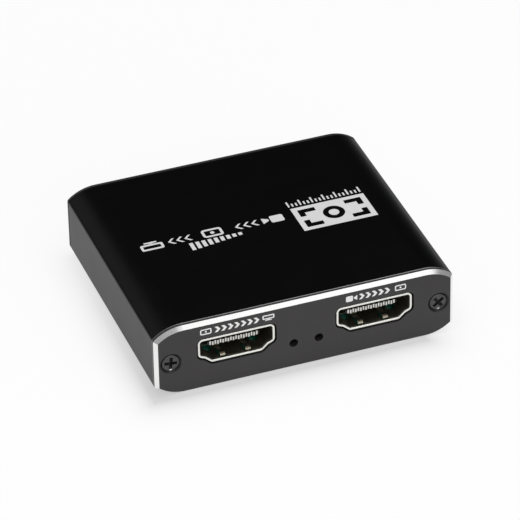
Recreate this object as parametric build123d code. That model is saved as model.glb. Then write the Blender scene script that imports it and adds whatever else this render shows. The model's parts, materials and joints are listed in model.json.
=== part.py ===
from build123d import *
import math
import os

# Video capture box: an extruded aluminium sleeve closed by two flat end plates. Two 19-way
# video sockets and two lamps look out of the front, a USB socket and two 3.5 mm jacks out of
# the back. All of them stand on one circuit board that slides in the rails of the sleeve.
# Frame: +X to the right along the front, -Y to the front, +Z up, origin on the surface that
# the box stands on, under its middle. Every length is in millimetres.

overrun = 1.0

# Case
case_width = 58.3
case_depth = 50.9
case_height = 14.8
corner_run = 5.6
corner_drop = 2.2
corner_edge_radius = 0.8
case_wall = 1.2
plate_thickness = 1.2
plate_bevel = 0.68
sleeve_end_bevel = 0.2

# Screws and their channels in the sleeve
screw_inset = 3.05
screw_length = 7.0
screw_shank_diameter = 1.8
screw_head_depth = 0.25
screw_seat_gap = 0.03
screw_thread_gap = 0.03
countersink_diameter = 4.2
screw_hole_diameter = 2.2
channel_slot = 1.0
cross_width = 0.5
cross_length = 2.0
cross_depth = 0.85
cross_taper = 12.0
left_cross_turn = 6.0
right_cross_turn = 38.0

# Circuit board
board_drop = 2.04
board_thickness = 1.6
board_side_play = 0.15
board_end_play = 0.3
board_corner_radius = 0.6
board_lift_play = 0.08
card_rail_width = 2.3
board_shift = 0.05
solder_pin_stickout = 0.8
pin_play = 0.1

# 19-way video sockets: sizes of the opening, and the outline's corners
port_spacing_share = 0.4609
port_rise = 2.89
port_width = 14.0
port_height = 4.55
port_wall = 0.3
port_shoulder_drop = 3.05
port_knee_inset = 1.1
port_knee_drop = 3.5
port_foot_inset = 2.3
port_top_radius = 0.55
port_bend_radius = 0.5
port_least_bend_radius = 0.12
port_recess = 0.2
port_length = 10.6
port_lip = 0.45
port_lip_thickness = 0.3
port_lip_round = 0.12
port_cutout_gap = 0.27
port_finger_spacing = 4.9
port_roof_finger_spacing = 7.6
port_window_spacing = 9.0
port_window_width = 1.5
port_window_front = 2.9
port_window_length = 2.2
port_window_height = 1.1

# Spring fingers that are cut out of the socket shells
finger_width = 1.0
finger_gap = 0.22
finger_thickness = 0.2
finger_tip_setback = 0.3
finger_bump_setback = 1.2
finger_rise = 0.5
finger_tip_rise = 0.12
finger_length = 4.2
finger_heel_share = 0.62
finger_heel_rise_share = 0.33

# Legs that hold the shells in the board
leg_width = 1.1
leg_front_setback = 2.6
leg_rear_setback = 8.0

# Tongue and contacts of a video socket
tongue_width = 10.0
tongue_front = 1.95
tongue_top_rise = 0.63
tongue_thickness = 0.66
insulator_play = 0.05
insulator_depth = 3.0
insulator_skirt = 1.4
contact_spacing = 0.5
contact_count = 19
contact_width = 0.3
contact_thickness = 0.12
contact_play = 0.03
contact_foot = 0.7
contact_row_step = 0.55

# Lamps
lamp_spacing_share = 0.411
lamp_rise = 0.4
lamp_hole_diameter = 1.7
lamp_width = 2.0
lamp_depth = 1.0
lamp_height = 0.9
lamp_lens_width = 1.2
lamp_lens_height = 0.66
lamp_lens_radius = 0.22
lamp_lens_depth = 0.35
lamp_setback = 0.2

# USB socket
usb_width = 12.5
usb_height = 5.12
usb_wall = 0.3
usb_corner_radius = 0.5
usb_recess = 0.2
usb_length = 13.4
usb_lip = 0.35
usb_lip_thickness = 0.3
usb_cutout_gap = 0.25
usb_tongue_width = 11.1
usb_tongue_thickness = 1.84
usb_tongue_gap = 0.72
usb_tongue_front = 1.3
usb_insulator_depth = 3.6
usb_finger_spacing = 6.4
usb_finger_width = 1.6
usb_finger_rise = 0.45
usb_finger_length = 6.0
usb_contact_width = 1.0
usb_contact_spreads = (2.0, 7.0)
usb_contact_step = 0.5
usb_fine_contact_width = 0.6
usb_fine_contact_spacing = 2.0
usb_fine_contact_setback = 4.2
usb_fine_contact_count = 5
usb_contact_thickness = 0.2
usb_row_step = 1.2

# 3.5 mm jacks
jack_spacing_share = 0.5
jack_rise = 2.7
jack_bore_diameter = 3.6
jack_bore_length = 12.0
jack_nose_diameter = 5.0
jack_nose_gap = 0.15
jack_nose_recess = 0.1
jack_body_width = 6.4
jack_body_height = 5.3
jack_body_length = 12.6
jack_body_setback = 0.2
jack_body_chamfer = 0.5
jack_mouth_chamfer = 0.25
jack_slot_height = 1.1
jack_slot_front_setback = 3.0
jack_slot_length = 5.6
jack_spring_thickness = 0.25
jack_spring_width = 0.85
jack_spring_play = 0.12
jack_spring_bend_share = 0.25

# Parts on the board: bodies of circuits, with their leads
capture_chip_share = 0.9
capture_chip_height = 1.25
capture_substrate_height = 0.45
capture_cap_inset = 0.5
loop_chip_share = 0.72
loop_chip_height = 0.85
loop_pad_run_share = 0.73
loop_pad_count = 10
loop_pad_width = 0.3
loop_pad_length = 0.5
loop_pad_height = 0.2
loop_chip_lift = 0.05
pin_mark_diameter = 0.7
pin_mark_depth = 0.1
mould_chamfer = 0.15
flash_width = 3.9
flash_length = 4.9
flash_height = 1.5
flash_lead_spacing = 1.27
regulator_width = 1.6
regulator_length = 2.9
regulator_height = 1.1
regulator_lead_spacing = 0.95
lead_width = 0.4
lead_thickness = 0.15
lead_reach = 1.0
lead_foot = 0.45
body_lift = 0.1
crystal_length = 3.2
crystal_width = 2.5
crystal_height = 0.7
crystal_lid_inset = 0.2
crystal_base_height = 0.35
inductor_size = 4.0
inductor_height = 1.8
inductor_chamfer = 0.7
bulk_diameter = 4.0
bulk_height = 5.2
bulk_base_size = 4.3
bulk_base_height = 0.9
bulk_groove_depth = 0.2
bulk_groove_height = 0.5
bulk_round = 0.3
bulk_base_cut = 0.9
ceramic_length = 1.6
ceramic_width = 0.8
ceramic_height = 0.8
resistor_length = 1.0
resistor_width = 0.5
resistor_height = 0.35
surge_length = 2.5
surge_width = 1.0
surge_height = 0.5

# Places of the parts on the board: two rows in the room between the sockets in front and
# those behind, with a gap between neighbours
part_gap = 0.4
small_part_spacing = 1.5
small_part_count = 4
surge_spread_share = 0.2

# Lengths that follow from the ones above
half_width = case_width / 2
half_height = case_height / 2
half_depth = case_depth / 2
sleeve_end = half_depth - plate_thickness
inner_half_width = half_width - case_wall
board_top_height = half_height - board_drop
board_bottom_height = board_top_height - board_thickness
board_half_width = inner_half_width - board_side_play
board_half_length = sleeve_end - board_end_play
screw_x = half_width - screw_inset
screw_hole_radius = screw_hole_diameter / 2
countersink_radius = countersink_diameter / 2
shank_radius = screw_shank_diameter / 2
channel_bore_radius = shank_radius + screw_thread_gap
channel_radius = board_drop - board_lift_play
port_spacing = port_spacing_share * case_width
port_height_on_case = board_top_height + port_rise
port_reach = port_recess + port_length + insulator_skirt + 2 * contact_row_step + contact_foot
lamp_spacing = lamp_spacing_share * (port_spacing - port_width - 2 * port_lip)
usb_rise = usb_wall + usb_height / 2
jack_spacing = jack_spacing_share * case_width
jack_axis_height = board_top_height + jack_rise
jack_reach = plate_thickness + jack_body_setback + jack_body_length
room_front = port_reach + part_gap - half_depth
room_back = half_depth - jack_reach - part_gap
row_depth = (room_back - room_front) / 2
front_row = room_front + row_depth / 2
rear_row = room_back - row_depth / 2
capture_chip_size = capture_chip_share * row_depth
loop_chip_size = loop_chip_share * row_depth
loop_pad_spacing = loop_pad_run_share * loop_chip_size / (loop_pad_count - 1)
bulk_x = screw_x - channel_radius - part_gap - bulk_base_size / 2
inductor_x = bulk_x - (bulk_base_size + inductor_size) / 2 - part_gap
regulator_x = inductor_x - inductor_size / 2 - part_gap - regulator_width / 2 - lead_reach
resistor_x = (loop_chip_size + resistor_length) / 2 + part_gap
crystal_x = resistor_x + (resistor_length + crystal_length) / 2 + part_gap
crystal_step = (crystal_width + part_gap) / 2
flash_x = resistor_x + (resistor_length + flash_width) / 2 + part_gap + lead_reach
usb_reach = usb_width / 2 + usb_wall
jack_side_reach = jack_body_width / 2 + jack_spring_play + jack_spring_thickness
ceramic_x = (usb_reach + jack_spacing / 2 - jack_side_reach) / 2
ceramic_y = half_depth - jack_reach / 2
surge_y = port_reach + (part_gap + surge_width) / 2 - half_depth


def block(x_range, y_range, z_range):
    """A box between two limits along each axis."""
    size = [high - low for low, high in (x_range, y_range, z_range)]
    middle = [(high + low) / 2 for low, high in (x_range, y_range, z_range)]
    return Pos(*middle) * Box(*size)


def slab(section, front, back):
    """A section drawn in X and Z, carried along Y from front to back."""
    return extrude(Plane.XZ.offset(-front) * section, amount=front - back)


def strip(points, width, x=0):
    """A flat strip of the given width along X, bent to an outline drawn in Y and Z."""
    face = make_face(Polyline(*points, close=True))
    return Pos(x, 0, 0) * extrude(Plane.YZ * face, amount=width / 2, both=True)


def turned(points):
    """A solid of revolution about the Y axis, from an outline of radius and depth."""
    return revolve(make_face(Polyline(*points, close=True)), axis=Axis.Y)


def at_front(piece, x, z):
    """Carry a piece drawn at an outer face, with Y as its depth, to the front of the case."""
    return Pos(x, -half_depth, z) * piece


def at_rear(piece, x, z):
    """The same for the rear, where the piece looks out along +Y."""
    return Pos(x, half_depth, z) * Rot(Z=180) * piece


def together(pieces):
    """Separate solids as one group."""
    return Compound(children=[solid for piece in pieces for solid in piece.solids()])


def save(node, piece):
    """Write one sub-part to its own file."""
    if isinstance(piece, (list, tuple)):
        piece = together(piece)
    solids = piece.solids()
    shape = solids[0] if len(solids) == 1 else Compound(children=solids)
    export_step(shape, os.path.join("parts", node + ".step"))


# Case


def corner_arc(side, level):
    """One corner arc of the section: side is -1 or 1 for left or right, level for low or high."""
    radius = (corner_run ** 2 + corner_drop ** 2) / (2 * corner_drop)
    turn = math.asin(corner_run / radius)
    points = []
    for share in (0, 1 / 2, 1):
        x = half_width - corner_run + radius * math.sin(share * turn)
        z = half_height - radius + radius * math.cos(share * turn)
        points.append((side * x, level * z))
    return ThreePointArc(*points)


def case_section():
    """Outline of the case: upright sides, a flat top and base, and an arc along each corner."""
    flat = half_width - corner_run
    side = half_height - corner_drop
    edges = [corner_arc(x, z) for x in (-1, 1) for z in (-1, 1)]
    edges += [Line((-flat, z * half_height), (flat, z * half_height)) for z in (-1, 1)]
    edges += [Line((x * half_width, -side), (x * half_width, side)) for x in (-1, 1)]
    face = make_face(edges)
    corners = [v for v in face.vertices() if abs(abs(v.X) - half_width) < abs(abs(v.X) - flat)]
    return Pos(0, half_height) * fillet(corners, corner_edge_radius)


def channel_section(side):
    """Thick round wall of one screw channel, from the side wall of the case."""
    ring = Pos(side * screw_x, half_height) * Circle(channel_radius)
    web_middle = side * (screw_x + inner_half_width + case_wall / 2) / 2
    web_width = inner_half_width + case_wall / 2 - screw_x
    return ring + Pos(web_middle, half_height) * Rectangle(web_width, 2 * channel_radius)


def channel_opening(side):
    """Bore of one screw channel and the slot that leaves it open along its length."""
    reach = board_drop + overrun
    bore = Pos(side * screw_x, half_height) * Circle(channel_bore_radius)
    slot = Pos(side * (screw_x - reach / 2), half_height) * Rectangle(reach, channel_slot)
    return bore + slot


def rail_section(side):
    """Rail that carries one edge of the board."""
    width = card_rail_width + case_wall / 2
    x = side * (inner_half_width + case_wall / 2 - width / 2)
    height = board_bottom_height - case_wall / 2
    return Pos(x, case_wall / 2 + height / 2) * Rectangle(width, height)


def make_sleeve():
    """Extruded sleeve with its rails and screw channels, and its outer end edges broken."""
    outline = case_section()
    section = outline - offset(outline, -case_wall)
    for side in (-1, 1):
        section += channel_section(side) + rail_section(side)
    section &= outline
    for side in (-1, 1):
        section -= channel_opening(side)
    sleeve = slab(section, -sleeve_end, sleeve_end)
    ends = sleeve.faces().sort_by(Axis.Y)
    rims = [ends[i].outer_wire().edges() for i in (0, -1)]
    return chamfer(rims[0] + rims[1], sleeve_end_bevel)


def countersink():
    """Space that a screw takes up in a plate, measured in from the outer face."""
    cone_end = countersink_radius - screw_hole_radius
    return turned([
        (0, -overrun),
        (countersink_radius, -overrun),
        (countersink_radius, 0),
        (screw_hole_radius, cone_end),
        (screw_hole_radius, plate_thickness + overrun),
        (0, plate_thickness + overrun),
    ])


def end_plate(openings):
    """A plate with a bevelled outer edge, two countersinks and the openings that it is given."""
    plate = slab(case_section(), 0, plate_thickness)
    rim = plate.faces().sort_by(Axis.Y)[0].outer_wire().edges()
    plate = chamfer(rim, plate_bevel)
    for side in (-1, 1):
        plate -= Pos(side * screw_x, 0, half_height) * countersink()
    for opening, x, z in openings:
        plate -= Pos(x, 0, z) * slab(opening, -overrun, plate_thickness + overrun)
    return plate


def screw(cross_turn):
    """A flat-head screw with a cross recess, measured in from the outer face of the plate."""
    head_radius = countersink_radius - screw_head_depth - screw_seat_gap
    cone_end = screw_head_depth + head_radius - shank_radius
    body = turned([
        (0, screw_head_depth),
        (head_radius, screw_head_depth),
        (shank_radius, cone_end),
        (shank_radius, screw_length),
        (0, screw_length),
    ])
    cross = Rectangle(cross_length, cross_width) + Rectangle(cross_width, cross_length)
    top = Plane.XZ.offset(-screw_head_depth) * (Rot(Z=cross_turn) * cross)
    return body - extrude(top, amount=-cross_depth, taper=cross_taper)


# Circuit board


def leg_slots(half_across, wall, setbacks):
    """Slots in the board for the legs of a shell that is half_across wide inside."""
    slots = []
    for side in (-1, 1):
        for setback in setbacks:
            x = side * (half_across + wall / 2)
            across = wall / 2 + pin_play
            slots.append(block(
                (x - across, x + across),
                (setback - pin_play, setback + leg_width + pin_play),
                (-board_thickness - overrun, overrun),
            ))
    return slots


def make_board():
    """The board with its rounded corners and the slots for the shells' legs."""
    outline = RectangleRounded(2 * board_half_width, 2 * board_half_length, board_corner_radius)
    board = Pos(0, 0, board_bottom_height) * extrude(outline, amount=board_thickness)
    for x in port_places():
        for slot in leg_slots(port_width / 2, port_wall, port_leg_setbacks()):
            board -= at_front(slot, x, board_top_height)
    for slot in leg_slots(usb_width / 2, usb_wall, usb_leg_setbacks()):
        board -= at_rear(slot, board_shift, board_top_height)
    return board


# 19-way video sockets, drawn about the axis of the opening with Y as the depth


def port_places():
    """Where the two sockets stand along the front."""
    return [board_shift + side * port_spacing / 2 for side in (-1, 1)]


def port_leg_setbacks():
    return [port_recess + leg_front_setback, port_recess + leg_rear_setback]


def grown(points, growth):
    """Move both sides of each corner of a clockwise outline out by the same distance."""
    moved = []
    for before, point, after in zip(points[-1:] + points[:-1], points, points[1:] + points[:1]):
        way_in = (Vector(point) - Vector(before)).normalized()
        way_out = (Vector(after) - Vector(point)).normalized()
        normals = [Vector(-way.Y, way.X) for way in (way_in, way_out)]
        shift = (normals[0] + normals[1]) / (1 + normals[0].dot(normals[1]))
        moved.append((point[0] + growth * shift.X, point[1] + growth * shift.Y))
    return moved


def port_section(growth):
    """The opening's outline, wide above and stepped in below, moved out by growth."""
    half = port_width / 2
    top = port_height / 2
    right = [
        (half, top),
        (half, top - port_shoulder_drop),
        (half - port_knee_inset, top - port_knee_drop),
        (half - port_foot_inset, -top),
    ]
    left = [(-x, z) for x, z in reversed(right)]
    outline = grown(right + left, growth)
    inner_bend = max(port_bend_radius - growth, port_least_bend_radius)
    radii = [port_top_radius + growth, port_bend_radius + growth, inner_bend]
    radii.append(port_bend_radius + growth)
    return make_face(FilletPolyline(*outline, radius=radii + radii[::-1], close=True))


def finger(width, length, rise, x, floor, up):
    """A spring finger over a shell's floor: its root lies deep inside, its bump near the mouth."""
    upper = [
        (finger_tip_setback, finger_tip_rise),
        (finger_bump_setback, rise),
        (finger_heel_share * length, finger_heel_rise_share * rise),
        (length + finger_gap, 0),
    ]
    lower = [(y, z - finger_thickness) for y, z in upper]
    sides = [Spline(*upper), Line(upper[-1], lower[-1]), Spline(*lower), Line(lower[0], upper[0])]
    piece = extrude(Plane.YZ * make_face(sides), amount=width / 2, both=True)
    if not up:
        piece = mirror(piece, Plane.XY)
    return Pos(x, 0, floor) * piece


def finger_slot(width, length, x, floor, wall, up):
    """The slot in the shell that leaves room round one finger."""
    depth = wall + overrun / 2
    low = floor - depth if up else floor - overrun / 2
    reach = width / 2 + finger_gap
    return block((x - reach, x + reach), (0, length), (low, low + depth + overrun / 2))


def shell_legs(half_across, wall, top, foot, setbacks):
    """Legs that run down from the side walls of a shell through the board."""
    legs = []
    for side in (-1, 1):
        for setback in setbacks:
            x = sorted((side * half_across, side * (half_across + wall)))
            legs.append(block(x, (setback, setback + leg_width), (foot, top)))
    return legs


def make_port_shell():
    """Folded shell with its rolled lip, spring fingers, windows and legs."""
    lip_back = port_recess + port_lip_thickness
    end = port_recess + port_length
    shell = slab(port_section(port_wall), port_recess, end)
    shell += slab(port_section(port_lip), port_recess, lip_back)
    shell -= slab(port_section(0), port_recess - overrun, end + overrun)
    front = shell.faces().sort_by(Axis.Y)[0]
    shell = fillet(front.edges(), port_lip_round)
    floor = -port_height / 2
    for side in (-1, 1):
        for spacing, level, up in (
            (port_finger_spacing, floor, True),
            (port_roof_finger_spacing, -floor, False),
        ):
            x = side * spacing / 2
            slot = finger_slot(finger_width, finger_length, x, level, port_wall, up)
            spring = finger(finger_width, finger_length, finger_rise, x, level, up)
            shell -= Pos(0, lip_back, 0) * slot
            shell += Pos(0, lip_back, 0) * spring
        window_x = side * port_window_spacing / 2
        window_low = port_recess + port_window_front
        shell -= block(
            (window_x - port_window_width / 2, window_x + port_window_width / 2),
            (window_low, window_low + port_window_length),
            (floor - overrun, floor + port_window_height),
        )
    foot = -port_rise - board_thickness - solder_pin_stickout
    for leg in shell_legs(port_width / 2, port_wall, 0, foot, port_leg_setbacks()):
        shell += leg
    return shell


def contact_rows():
    """For each contact of a video socket: its place across, and whether it lies on top."""
    middle = (contact_count - 1) / 2
    return [((i - middle) * contact_spacing, i % 2 == 0) for i in range(contact_count)]


def contact(x, on_top):
    """One contact: a tip round the front of the tongue, a flat run and a tail to the board."""
    t = contact_thickness
    run = tongue_top_rise if on_top else tongue_top_rise - tongue_thickness
    way = 1 if on_top else -1
    board = -port_rise
    row = 2 * contact_row_step if on_top else contact_row_step
    tail = port_recess + port_length + insulator_skirt + row
    near, far = (run, run + t) if on_top else (run - t, run)
    tip = run - way * tongue_thickness
    outer = run + way * t
    tip_points = [(tongue_front, run), (tongue_front, tip), (tongue_front - t, tip)]
    if on_top:
        points = tip_points + [
            (tongue_front - t, outer), (tail, far), (tail, board + t),
            (tail + contact_foot, board + t), (tail + contact_foot, board),
            (tail - t, board), (tail - t, near),
        ]
    else:
        points = tip_points + [
            (tongue_front - t, outer), (tail - t, near), (tail - t, board),
            (tail + contact_foot / 2, board), (tail + contact_foot / 2, board + t),
            (tail, board + t), (tail, far),
        ]
    return strip(points, contact_width, x)


def make_port_tongue():
    """Insulator: a block that closes the shell, its skirt on the board, and the tongue."""
    back = port_recess + port_length
    inner_front = back - insulator_depth
    skirt_back = back + insulator_skirt
    body = slab(port_section(-insulator_play), inner_front, skirt_back)
    half = port_width / 2 + port_wall
    body += block((-half, half), (back, skirt_back), (-port_rise, port_height / 2))
    low = tongue_top_rise - tongue_thickness
    half = tongue_width / 2
    body += block((-half, half), (tongue_front, inner_front), (low, tongue_top_rise))
    for x, on_top in contact_rows():
        run = tongue_top_rise if on_top else low
        cut = contact_thickness + contact_play
        levels = (run, run + cut) if on_top else (run - cut, run)
        reach = contact_width / 2 + contact_play
        body -= block((x - reach, x + reach), (inner_front - overrun, skirt_back + overrun), levels)
    return body


# Lamps, drawn about their light with Y as the depth behind the front plate


def make_lamp():
    """A side-looking lamp: white body, clear lens in front."""
    back = plate_thickness + board_end_play + lamp_setback + lamp_lens_depth
    body = block((-lamp_width / 2, lamp_width / 2), (back, back + lamp_depth),
                 (-lamp_rise, lamp_height - lamp_rise))
    lens_profile = Pos(0, lamp_height / 2 - lamp_rise) * RectangleRounded(
        lamp_lens_width, lamp_lens_height, lamp_lens_radius)
    return body + slab(lens_profile, back - lamp_lens_depth, back)


# USB socket, drawn as the video sockets are


def usb_leg_setbacks():
    return [usb_recess + leg_front_setback, usb_recess + leg_rear_setback]


def usb_section(growth):
    """Opening of the USB socket, moved out by growth."""
    radius = usb_corner_radius + growth
    return RectangleRounded(usb_width + 2 * growth, usb_height + 2 * growth, radius)


def make_usb_shell():
    """Shell of the USB socket, with a lip, four spring fingers and four legs."""
    end = usb_recess + usb_length
    lip_back = usb_recess + usb_lip_thickness
    shell = slab(usb_section(usb_wall), usb_recess, end)
    lip = slab(usb_section(usb_lip), usb_recess, lip_back)
    shell += lip
    shell -= slab(usb_section(0), usb_recess - overrun, end + overrun)
    floor = -usb_height / 2
    for side in (-1, 1):
        x = side * usb_finger_spacing / 2
        for level, up in ((floor, True), (-floor, False)):
            slot = finger_slot(usb_finger_width, usb_finger_length, x, level, usb_wall, up)
            spring = finger(usb_finger_width, usb_finger_length, usb_finger_rise, x, level, up)
            shell -= Pos(0, lip_back, 0) * slot
            shell += Pos(0, lip_back, 0) * spring
    foot = -usb_rise - board_thickness - solder_pin_stickout
    for leg in shell_legs(usb_width / 2, usb_wall, 0, foot, usb_leg_setbacks()):
        shell += leg
    return shell


def usb_tongue_levels():
    """Height of the underside and the top of the tongue of the USB socket."""
    top = usb_height / 2 - usb_tongue_gap
    return top - usb_tongue_thickness, top


def usb_contact_places():
    """For each contact: its place across, its width and how far back it starts."""
    wide = [side * spread / 2 for side in (-1, 1) for spread in usb_contact_spreads]
    middle = (usb_fine_contact_count - 1) / 2
    fine = [(i - middle) * usb_fine_contact_spacing for i in range(usb_fine_contact_count)]
    places = [(x, usb_contact_width, usb_contact_step) for x in wide]
    return places + [(x, usb_fine_contact_width, usb_fine_contact_setback) for x in fine]


def make_usb_tongue():
    """Insulator of the USB socket with its tongue."""
    back = usb_recess + usb_length
    inner_front = back - usb_insulator_depth
    body = slab(usb_section(-insulator_play), inner_front, back)
    low, top = usb_tongue_levels()
    half = usb_tongue_width / 2
    return body + block((-half, half), (usb_tongue_front, inner_front), (low, top))


def usb_contact(x, width, setback):
    """One contact under the tongue, from near its tip to the face of the insulator."""
    low = usb_tongue_levels()[0]
    front = usb_tongue_front + setback
    back = usb_recess + usb_length - usb_insulator_depth
    half = width / 2
    return block((x - half, x + half), (front, back), (low - usb_contact_thickness, low))


def make_usb_contacts():
    """Contacts of the USB socket; the fine ones lie between the ends of the wide ones."""
    pieces = []
    for x, width, setback in usb_contact_places():
        piece = usb_contact(x, width, setback)
        if width == usb_contact_width:
            end = usb_tongue_front + usb_fine_contact_setback - usb_row_step
            piece &= block((x - width, x + width), (0, end), (-usb_height, usb_height))
        pieces.append(piece)
    return pieces


# 3.5 mm jacks, drawn about the axis of the bore with Y as the depth


def jack_depths():
    """Depth of the front and the back of the body."""
    front = plate_thickness + jack_body_setback
    return front, front + jack_body_length


def make_jack_body():
    """Moulded body with the nose that stands in the plate, the bore and the side windows."""
    front, back = jack_depths()
    half = jack_body_width / 2
    body = block((-half, half), (front, back), (-jack_rise, jack_body_height - jack_rise))
    upright = body.edges().filter_by(Axis.Y).group_by(Axis.Z)[-1]
    body = chamfer(upright, jack_body_chamfer)
    nose = turned([
        (0, jack_nose_recess),
        (jack_nose_diameter / 2 - jack_mouth_chamfer, jack_nose_recess),
        (jack_nose_diameter / 2, jack_nose_recess + jack_mouth_chamfer),
        (jack_nose_diameter / 2, front),
        (0, front),
    ])
    bore_radius = jack_bore_diameter / 2
    bore = turned([
        (0, -overrun),
        (bore_radius + jack_mouth_chamfer, -overrun),
        (bore_radius + jack_mouth_chamfer, jack_nose_recess),
        (bore_radius, jack_nose_recess + jack_mouth_chamfer),
        (bore_radius, jack_nose_recess + jack_bore_length),
        (0, jack_nose_recess + jack_bore_length),
    ])
    body = body + nose - bore
    slot_front = front + jack_slot_front_setback
    half_slot = jack_slot_height / 2
    for side in (-1, 1):
        x = sorted((0, side * (half + overrun)))
        slot = block(x, (slot_front, slot_front + jack_slot_length), (-half_slot, half_slot))
        body -= slot
    return body


def jack_spring(side):
    """One leaf spring in a side window, bent in to the bore, with its tail down to the board."""
    front = jack_depths()[0] + jack_slot_front_setback + jack_spring_play
    length = jack_slot_length - 2 * jack_spring_play
    touch = jack_bore_diameter / 2 + jack_spring_play
    rest = jack_body_width / 2 + jack_spring_play
    t = jack_spring_thickness
    bend = front + jack_spring_bend_share * length
    heel = front + length - jack_spring_width
    path = [(rest - t, front), (touch, bend), (rest, heel), (rest, front + length)]
    inner = [(side * x, y) for x, y in path]
    outer = [(side * (x + t), y) for x, y in reversed(path)]
    face = make_face(Polyline(*(inner + outer), close=True))
    leaf = extrude(face, amount=jack_spring_width / 2, both=True)
    x = sorted((side * rest, side * (rest + t)))
    tail = block(x, (heel, front + length), (-jack_rise, jack_spring_width / 2))
    return leaf + tail


# Parts on the board, each drawn on the board's top face


def on_board(piece, x, y):
    """Carry a piece to its place on the board's top."""
    return Pos(x, y, board_top_height) * piece


def in_pair(piece, x, y):
    """One piece on each side of the board."""
    return [on_board(piece, side * x, y) for side in (-1, 1)]


def in_columns(piece, x, y):
    """A few small parts, one behind the other, on each side of the board."""
    middle = (small_part_count - 1) / 2
    places = [y + (i - middle) * small_part_spacing for i in range(small_part_count)]
    return [row_piece for place in places for row_piece in in_pair(piece, x, place)]


def moulded(length, width, low, high):
    """A moulded body with chamfered upper edges."""
    body = block((-length / 2, length / 2), (-width / 2, width / 2), (low, high))
    return chamfer(body.faces().sort_by(Axis.Z)[-1].edges(), mould_chamfer)


def pin_mark(length, width, top):
    """The dimple beside the first pin."""
    inset = 2 * pin_mark_diameter
    place = Pos(inset / 2 - length / 2, inset / 2 - width / 2, top - pin_mark_depth / 2)
    return place * Cylinder(pin_mark_diameter / 2, pin_mark_depth)


def make_capture_chip():
    """Ball-grid package: a thin substrate and the moulded cap on it."""
    size = capture_chip_size
    base = block((-size / 2, size / 2), (-size / 2, size / 2), (0, capture_substrate_height))
    cap_size = size - 2 * capture_cap_inset
    cap = moulded(cap_size, cap_size, capture_substrate_height, capture_chip_height)
    return base + cap - pin_mark(cap_size, cap_size, capture_chip_height)


def make_loop_chip():
    """Flat package with a row of pads along each side."""
    size = loop_chip_size
    body = moulded(size, size, loop_chip_lift, loop_chip_height)
    middle = (loop_pad_count - 1) / 2
    for turn in range(4):
        for i in range(loop_pad_count):
            y = (i - middle) * loop_pad_spacing
            pad = block(
                (size / 2 - loop_pad_length, size / 2 + loop_chip_lift),
                (y - loop_pad_width / 2, y + loop_pad_width / 2),
                (0, loop_pad_height),
            )
            body += Rot(Z=90 * turn) * pad
    return body - pin_mark(size, size, loop_chip_height)


def gull_lead(half, height, y, side):
    """One bent lead that leaves a body half way up and stands on the board."""
    t = lead_thickness
    level = (height + body_lift) / 2
    out = half + lead_reach - lead_foot
    points = [
        (half - t, level), (out, level), (out, t), (half + lead_reach, t),
        (half + lead_reach, 0), (out - t, 0), (out - t, level - t), (half - t, level - t),
    ]
    face = make_face(Polyline(*[(side * x, z) for x, z in points], close=True))
    lead = extrude(Plane.XZ * face, amount=lead_width / 2, both=True)
    return Pos(0, y, 0) * lead


def leaded(width, length, height, pitch, counts):
    """A moulded body with leads along its two long sides: counts gives left and right."""
    body = moulded(width, length, body_lift, height)
    for side, count in zip((-1, 1), counts):
        for i in range(count):
            share = i - (count - 1) / 2 if count != 2 else 2 * i - 1
            body += gull_lead(width / 2, height, share * pitch, side)
    return body


def make_flash_chip():
    body = leaded(flash_width, flash_length, flash_height, flash_lead_spacing, (4, 4))
    return body - pin_mark(flash_width, flash_length, flash_height)


def make_regulator():
    return leaded(regulator_width, regulator_length, regulator_height, regulator_lead_spacing, (3, 2))


def make_crystal():
    """Crystal: a ceramic base and a smaller metal lid."""
    half_x = crystal_length / 2
    half_y = crystal_width / 2
    inset = crystal_lid_inset
    base = block((-half_x, half_x), (-half_y, half_y), (0, crystal_base_height))
    lid = block(
        (inset - half_x, half_x - inset),
        (inset - half_y, half_y - inset),
        (crystal_base_height, crystal_height),
    )
    return base + lid


def make_inductor():
    """Shielded power inductor with cut corners."""
    half = inductor_size / 2
    body = block((-half, half), (-half, half), (0, inductor_height))
    return chamfer(body.edges().filter_by(Axis.Z), inductor_chamfer)


def make_bulk_capacitor():
    """Round can with its groove, on a square base with two cut corners."""
    half = bulk_base_size / 2
    base = block((-half, half), (-half, half), (0, bulk_base_height))
    corners = base.edges().filter_by(Axis.Z).group_by(Axis.Y)[-1]
    base = chamfer(corners, bulk_base_cut)
    radius = bulk_diameter / 2
    waist = bulk_base_height + bulk_groove_height
    profile = [
        (0, 0), (radius, 0), (radius, waist), (radius - bulk_groove_depth, waist),
        (radius - bulk_groove_depth, waist + bulk_groove_height),
        (radius, waist + bulk_groove_height), (radius, bulk_height - bulk_round),
        (radius - bulk_round, bulk_height), (0, bulk_height),
    ]
    return base + Rot(X=90) * turned(profile)


def small_chip(length, width, height):
    """A two-ended chip part."""
    return block((-length / 2, length / 2), (-width / 2, width / 2), (0, height))


def surge_places():
    """Two surge arrays on the board behind each video socket."""
    spread = surge_spread_share * port_width
    return [(x + side * spread, surge_y) for x in port_places() for side in (-1, 1)]


# Build every node


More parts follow.
